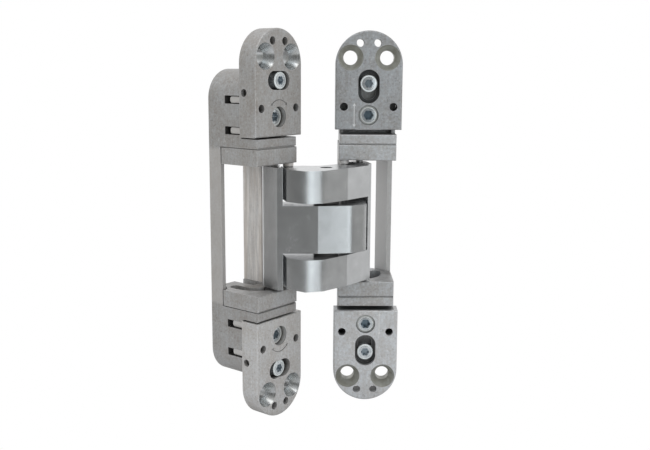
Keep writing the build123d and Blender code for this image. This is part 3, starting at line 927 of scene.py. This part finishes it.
@dataclass(frozen=True)
class PlatedScrew(Finish):
    """Bright zinc plating of a screw or adjuster, with its head's radii in millimetres.

    The head is turned and slightly domed, with a duller rim whose face is painted pale as a painted
    highlight, and a key socket painted dark and bluish as painted shade.
    """

    leaf: Leaf
    across: float
    height: float
    socket: float
    grey: float = 218.0
    warm: float = -6.0
    green: float = 1.0
    roughness: float = 0.2
    metallic: float = 0.8
    head: float = 3.5
    dome: Relief = (0.22, 1.0)
    ring_size: float = 0.22
    cloud: Pattern = Pattern(1.4)
    tone_weights: Weights = (0.4, 0.6)
    tone_band: Band = (0.3, 0.7)
    dark_step: float = -26.0
    pale_step: float = 18.0
    pale_limit: float = 240.0
    pale_warmth: float = 0.6
    socket_band: Band = (-0.25, 0.1)
    socket_dark: float = 0.55
    socket_shade: float = 0.42
    socket_warm: float = -26.0
    socket_green: float = 6.0
    socket_rough: float = 0.1
    rim: float = 0.6
    rim_band: Band = (-0.1, 0.1)
    rim_facing: float = 0.3
    rim_share: float = 0.7
    rim_grey: float = 240.0
    rim_warm: float = -3.0
    rim_green: float = 3.0
    rim_rough: float = 0.3
    rim_dull: float = 0.5
    ring_rough: float = 0.16
    turned_weights: Weights = (0.6, 0.4)
    turned: Relief = (0.04, 0.4)

    def skin(self, g: Graph, point: Wire) -> Skin:
        """Work out the plating round the screw's axis.

        The dome's height falls from 1 in the middle with the square of the radius.

        Args:
            g: graph to add the nodes to.
            point: Object coordinates.

        Returns:
            The surface.
        """
        place = LeafPoint.read(g, point, self.leaf)
        radius = place.from_axis(self.across, self.height, both_ends=False)
        rings = g.rings(radius, self.ring_size)
        cloud = g.noise(point, self.cloud)
        pale = min(self.grey + self.pale_step, self.pale_limit)
        colour = g.mix(
            weighted((rings, cloud), self.tone_weights).ramp(*self.tone_band),
            linear(self.grey + self.dark_step, self.warm, self.green),
            linear(pale, self.warm * self.pale_warmth, self.green),
        )
        # Painted shade: the key socket is painted dark and bluish.
        inside = 1.0 - (radius - self.socket).ramp(*self.socket_band)
        shade = linear(self.grey * self.socket_shade, self.socket_warm, self.socket_green)
        colour = g.mix(inside * self.socket_dark, colour, shade)
        # Painted highlight: the front face of the rim is painted pale.
        rim = (radius - (self.head - self.rim)).ramp(*self.rim_band)
        rim = rim * (g.dot(g.facing(), self.leaf.out) > self.rim_facing)
        rim_colour = linear(self.rim_grey, self.rim_warm, self.rim_green)
        colour = g.mix(rim * self.rim_share, colour, rim_colour)
        rough = self.roughness + rings.swing(self.ring_rough)
        rough = rough + inside * self.socket_rough + rim * self.rim_rough
        share = radius / self.head
        dome = g.bump(1.0 - share * share, self.dome)
        normal = g.bump(weighted((rings, cloud), self.turned_weights), self.turned, dome)
        return Skin(colour, rough, self.metallic * (1.0 - rim * self.rim_dull), normal)


@dataclass(frozen=True)
class GroundSteel(Finish):
    """Plain ground steel of the hinge pins, with fine rings round them."""

    grey: float = 172.0
    warm: float = 1.0
    dark_step: float = -22.0
    pale_step: float = 12.0
    roughness: float = 0.3
    metallic: float = 1.0
    rings: Pattern = Pattern(0.5, 2.0, 0.6, (0.2, 0.2, 4.0))
    cloud: Pattern = Pattern(2.0)
    tone_weights: Weights = (0.5, 0.5)
    tone_band: Band = (0.3, 0.7)
    ring_rough: float = 0.2
    relief: Relief = (0.02, 0.3)

    def skin(self, g: Graph, point: Wire) -> Skin:
        """Work out the steel.

        Args:
            g: graph to add the nodes to.
            point: Object coordinates.

        Returns:
            The surface.
        """
        rings = g.noise(point, self.rings)
        colour = g.mix(
            weighted((rings, g.noise(point, self.cloud)), self.tone_weights).ramp(*self.tone_band),
            linear(self.grey + self.dark_step, self.warm),
            linear(self.grey + self.pale_step, self.warm),
        )
        rough = self.roughness + rings.swing(self.ring_rough)
        return Skin(colour, rough, self.metallic, g.bump(rings, self.relief))


@dataclass(frozen=True)
class BearingPolymer(Finish):
    """Dark self-lubricating plastic of the bushes, washers and sleeves."""

    grey: float = 62.0
    warm: float = 1.0
    dark_step: float = -10.0
    pale_step: float = 12.0
    roughness: float = 0.5
    cloud_rough: float = 0.2
    cloud: Pattern = Pattern(1.5, 3.0, 0.6)
    relief: Relief = (0.03, 0.4)

    def skin(self, g: Graph, point: Wire) -> Skin:
        """Work out the plastic.

        Args:
            g: graph to add the nodes to.
            point: Object coordinates.

        Returns:
            The surface.
        """
        cloud = g.noise(point, self.cloud)
        colour = g.mix(
            cloud,
            linear(self.grey + self.dark_step, self.warm),
            linear(self.grey + self.pale_step, self.warm),
        )
        rough = self.roughness + cloud * self.cloud_rough
        return Skin(colour, rough, 0.0, g.bump(cloud, self.relief))


def dress(frame: Mapping[str, Any], names: Sequence[str], finish: Finish) -> None:
    """Give CAD nodes one finish.

    Args:
        frame: the loaded frame.
        names: node names.
        finish: finish for all of them.
    """
    material = finish.build()
    for name in names:
        node = frame["nodes"][name]
        node.data.materials.clear()
        node.data.materials.append(material)
        log.info("piece %s: %s", name, material.name)


@dataclass
class LeafCastings:
    """Plates, carrier, housing and screws of one leaf, with its screws' places and sockets."""

    leaf: Leaf
    plates: Mapping[End, PlateZinc]
    carrier: CarrierZinc
    housing: HousingZinc
    clamp_across: Mapping[End, float]
    clamp_height: float
    adjuster_grey: float
    adjuster_socket_dark: float
    clamp_socket: float = 1.75
    adjuster_height: float = 45.4
    adjuster_socket: float = 2.05
    adjuster_head: float = 4.15
    adjuster_rim: float = 1.1
    adjuster_rim_grey: float = 214.0
    adjuster_rim_warm: float = 1.0

    def build(self, frame: Mapping[str, Any]) -> None:
        """Dress the leaf's CAD nodes.

        Args:
            frame: the loaded frame.
        """
        side = self.leaf.value
        dress(frame, [f"{side}_carrier"], self.carrier)
        dress(frame, [f"{side}_housing"], self.housing)
        for end in End:
            name = f"{side}_{end.name.lower()}"
            dress(frame, [f"{name}_plate"], self.plates[end])
            dress(frame, [f"{name}_clamp_screw"], self.clamp(f"{name}_clamp_plating", end))
            dress(frame, [f"{name}_adjuster"], self.adjuster(f"{name}_adjuster_plating", end))

    def clamp(self, name: str, end: End) -> PlatedScrew:
        """Finish of the clamp screw.

        Args:
            name: the finish's name.
            end: upper or lower end.

        Returns:
            The finish.
        """
        height = end.value * self.clamp_height
        return PlatedScrew(name, self.leaf, self.clamp_across[end], height, self.clamp_socket)

    def adjuster(self, name: str, end: End) -> PlatedScrew:
        """Finish of the adjuster.

        Args:
            name: the finish's name.
            end: upper or lower end.

        Returns:
            The finish.
        """
        return PlatedScrew(
            name,
            self.leaf,
            self.leaf.plate_shift,
            end.value * self.adjuster_height,
            self.adjuster_socket,
            grey=self.adjuster_grey,
            head=self.adjuster_head,
            socket_dark=self.adjuster_socket_dark,
            rim=self.adjuster_rim,
            rim_grey=self.adjuster_rim_grey,
            rim_warm=self.adjuster_rim_warm,
        )


@dataclass
class Linkage:
    """The two crossed arms with their pins, bushes, washers and sleeves."""

    tongue: SatinCoat
    fork: SatinCoat
    pins: GroundSteel
    bearings: BearingPolymer
    pin_ends: tuple[str, ...] = ("_pin",)
    bearing_ends: tuple[str, ...] = ("_bush", "_washer", "_sleeve")

    def build(self, frame: Mapping[str, Any]) -> None:
        """Dress the linkage's CAD nodes.

        Args:
            frame: the loaded frame.
        """
        names = list(frame["nodes"])
        dress(frame, ["tongue_arm"], self.tongue)
        dress(frame, ["fork_arm"], self.fork)
        dress(frame, [name for name in names if name.endswith(self.pin_ends)], self.pins)
        dress(frame, [name for name in names if name.endswith(self.bearing_ends)], self.bearings)


def add_object(name: str, data: Any) -> bpy.types.Object:
    """Add an object to the scene.

    Args:
        name: the object's name.
        data: its mesh, lamp or camera.

    Returns:
        The new object.
    """
    made = bpy.data.objects.new(name, data)
    bpy.context.scene.collection.objects.link(made)
    return made


@dataclass(frozen=True)
class SoftBox:
    """One rectangular studio lamp."""

    name: str
    place: tuple[float, float, float]
    width: float
    height: float
    power: float
    in_gloss: bool = True
    tint: Colour = WHITE
    target: tuple[float, float, float] = (-0.02, -0.01, 0.0)

    def build(self) -> None:
        """Add the lamp, aimed at its target."""
        data = bpy.data.lights.new(self.name, "AREA")
        data.shape = "RECTANGLE"
        data.size = self.width
        data.size_y = self.height
        data.energy = self.power
        data.color = self.tint
        lamp = add_object(self.name, data)
        turn = (Vector(self.place) - Vector(self.target)).to_track_quat("Z", "Y")
        lamp.matrix_world = Matrix.Translation(self.place) @ turn.to_matrix().to_4x4()
        lamp.visible_glossy = self.in_gloss


@dataclass
class Studio:
    """World, floor, lamps and camera.

    The lamps are a box that the bright facets reflect, two soft fills from the left and the
    right that no gloss sees, and a box above.
    """

    boxes: tuple[SoftBox, ...] = (
        SoftBox("key_box", (0.386, -0.868, -0.05), 0.36, 1.1, 1.8, tint=(0.9, 0.97, 1.0)),
        SoftBox("fill_box", (-0.65, -0.8, 0.25), 0.8, 0.9, 3.2, in_gloss=False),
        SoftBox("side_box", (0.8, -0.65, 0.15), 0.7, 0.9, 3.2, in_gloss=False),
        SoftBox("top_box", (-0.1, -0.3, 1.0), 0.8, 0.6, 2.2),
    )
    wall_way: tuple[float, float, float] = (0.05, 1.0, 0.0)
    wall_stops: tuple[tuple[float, float], ...] = (
        (0.0, 0.13),
        (0.15, 0.21),
        (0.34, 0.38),
        (0.53, 0.41),
        (0.63, 0.84),
        (1.0, 1.0),
    )
    wall_warmth: float = 0.05
    ceiling_band: Band = (0.2, 0.9)
    ceiling_share: float = 0.7
    table_band: Band = (0.25, 0.42)
    table_share: float = 0.8
    bounce: Colour = (0.9, 0.9, 0.9)
    room_low: Colour = (0.66, 0.66, 0.65)
    room_high: Colour = (0.85, 0.85, 0.86)
    floor_middle: tuple[float, float, float] = (-0.02, 0.0, -80.6 * MM)
    floor_radius: float = 0.2
    floor_corners: int = 96
    floor_colour: Colour = (0.6, 0.6, 0.6)
    camera_place: tuple[float, float, float] = (-21.2 * MM, -373.9 * MM, 63.9 * MM)
    camera_pitch: float = 10.13
    camera_heading: float = 0.5
    camera_roll: float = 0.336
    camera_lens: float = 47.99
    camera_sensor: float = 36.0
    camera_nearest: float = 0.01

    def build(self) -> None:
        """Build the world, floor, lamps and camera."""
        self.world()
        self.floor()
        for lamp in self.boxes:
            lamp.build()
        self.camera()
        bpy.context.scene.view_settings.view_transform = "Standard"

    def world(self) -> None:
        """White to the camera, an even room for matt metal, and a studio with dark walls in gloss.

        What gloss sees is dim in front and bright behind: it rises with the direction's Y plus
        a twentieth of its X, and also towards the ceiling and the table. Dim walls are warm.
        """
        scene = bpy.context.scene
        scene.world = bpy.data.worlds.new("studio_world")
        scene.world.use_nodes = True
        g = Graph(scene.world.node_tree)
        way = g.node("ShaderNodeTexCoord", output="Generated")
        turned = g.dot(way, Vector(self.wall_way)) * 0.5 + 0.5
        blue = 1 - self.wall_warmth
        stops = [(at, (s, s, s * (blue + self.wall_warmth * s))) for at, s in self.wall_stops]
        walls = g.node("ShaderNodeValToRGB", {"stops": stops}, {"Fac": turned})
        height = g.dot(way, UP)
        up = height.ramp(*self.ceiling_band)
        table = (-height).ramp(*self.table_band)
        near = (up * self.ceiling_share).larger(table * self.table_share)
        studio = g.mix(near, walls, self.bounce)
        glossy = g.node("ShaderNodeLightPath", output="Is Glossy Ray")
        room = g.mix(glossy, g.mix(up, self.room_low, self.room_high), studio)
        seen = g.node("ShaderNodeLightPath", output="Is Camera Ray")
        colour = g.mix(seen, room, WHITE)
        light = g.node("ShaderNodeBackground", values={"Color": colour, "Strength": 1.0})
        g.node("ShaderNodeOutputWorld", values={"Surface": light})

    def floor(self) -> None:
        """Small pale floor under the hinge, white to the camera from above and clear from below.

        A disc: points at one radius, evenly turned about its middle.
        """
        turn = np.linspace(0.0, 2 * np.pi, self.floor_corners, endpoint=False)
        ring = np.stack([np.cos(turn), np.sin(turn), np.zeros_like(turn)], axis=1)
        ring = ring * self.floor_radius + self.floor_middle
        mesh = bpy.data.meshes.new("floor")
        mesh.from_pydata(ring.tolist(), [], [tuple(range(len(ring)))])
        obj = add_object("floor", mesh)
        material = bpy.data.materials.new("pale_floor")
        material.use_nodes = True
        g = Graph(material.node_tree)
        matt = g.node("ShaderNodeBsdfDiffuse", values={"Color": (*self.floor_colour, 1.0)})
        white = g.node("ShaderNodeEmission", values={"Color": (*WHITE, 1.0), "Strength": 1.0})
        clear = g.node("ShaderNodeBsdfTransparent")
        below = g.node("ShaderNodeNewGeometry", output="Backfacing")
        seen = g.node("ShaderNodeLightPath", output="Is Camera Ray")
        shown = g.node("ShaderNodeMixShader", values={0: below, 1: white, 2: clear})
        surface = g.node("ShaderNodeMixShader", values={0: seen, 1: matt, 2: shown})
        g.node("ShaderNodeOutputMaterial", values={"Surface": surface})
        mesh.materials.append(material)

    def camera(self) -> None:
        """Camera at the photograph's viewing angle."""
        data = bpy.data.cameras.new("camera")
        data.lens = self.camera_lens
        data.sensor_width = self.camera_sensor
        data.clip_start = self.camera_nearest
        camera = add_object("camera", data)
        tilt = math.radians(90 - self.camera_pitch)
        turn = Euler((tilt, 0.0, math.radians(-self.camera_heading)), "XYZ").to_matrix()
        roll = Matrix.Rotation(math.radians(self.camera_roll), 3, "Z")
        camera.matrix_world = Matrix.Translation(self.camera_place) @ (turn @ roll).to_4x4()
        bpy.context.scene.camera = camera


def clear_start() -> None:
    """Remove the objects that Blender starts with."""
    for obj in list(bpy.data.objects):
        bpy.data.objects.remove(obj)


def jamb_castings() -> LeafCastings:
    """The jamb leaf: an upper plate darker than the lower one as painted light, dull countersinks,
    pale marks and a plain wall.

    Returns:
        Its castings and screws.
    """
    leaf = Leaf.JAMB
    own = {
        "sink": Countersink(grey=164.0, warm=1.5, green=3.0, roughness=0.34, metallic=0.6),
        "slot_shade": Laid(0.85, 52.0, own_grey=False),
        "mark": Laid(1.0, 232.0, own_grey=False),
    }
    return LeafCastings(
        leaf,
        {
            # Painted light: the lower plate is painted paler than the upper one.
            End.UPPER: PlateZinc("jamb_upper_plate_zinc", leaf, 154.0, -1.0, **own),
            End.LOWER: PlateZinc("jamb_lower_plate_zinc", leaf, 194.0, -1.0, **own),
        },
        CarrierZinc("jamb_carrier_zinc", leaf, 172.0, 0.0),
        HousingZinc("jamb_housing_zinc", leaf, 173.0, -0.5, stain=Laid(0.2, 4.0, 11.0)),
        clamp_across={End.UPPER: 0.0, End.LOWER: 0.0},
        clamp_height=58.5,
        adjuster_grey=208.0,
        adjuster_socket_dark=0.75,
    )


def door_castings() -> LeafCastings:
    """The door leaf: bright countersinks, dark marks, rib grooves with painted shade, and a wall
    painted much paler as painted light.

    Returns:
        Its castings and screws.
    """
    leaf = Leaf.DOOR
    sink = Countersink(grey=206.0)
    return LeafCastings(
        leaf,
        {
            # Painted light: the lower plate is painted paler than the upper one.
            End.UPPER: PlateZinc("door_upper_plate_zinc", leaf, 162.0, 2.0, sink=sink),
            End.LOWER: PlateZinc("door_lower_plate_zinc", leaf, 188.0, 1.5, sink=sink),
        },
        CarrierZinc("door_carrier_zinc", leaf, 158.0, 1.5, groove_heights=(52.2, 40.0)),
        # Painted light: the wall is painted far paler than the rest of the housing.
        HousingZinc("door_housing_zinc", leaf, 166.0, 1.0, wall=Laid(1.0, 72.0, 3.0)),
        clamp_across={End.UPPER: 2.9, End.LOWER: 1.5},
        clamp_height=59.8,
        adjuster_grey=204.0,
        adjuster_socket_dark=0.4,
    )


def main() -> None:
    """Dress the hinge and set up its studio."""
    logging.basicConfig(level=logging.INFO, format="%(name)s %(message)s")
    clear_start()
    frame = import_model()
    jamb_castings().build(frame)
    door_castings().build(frame)
    Linkage(
        SatinCoat("tongue_coating"),
        SatinCoat("fork_coating", soft_way=-1, soft_from=-16.5, nose=(-28.1, -13.26)),
        GroundSteel("pin_steel"),
        BearingPolymer("bearing_polymer"),
    ).build(frame)
    Studio().build()


if __name__ == "__main__":
    main()
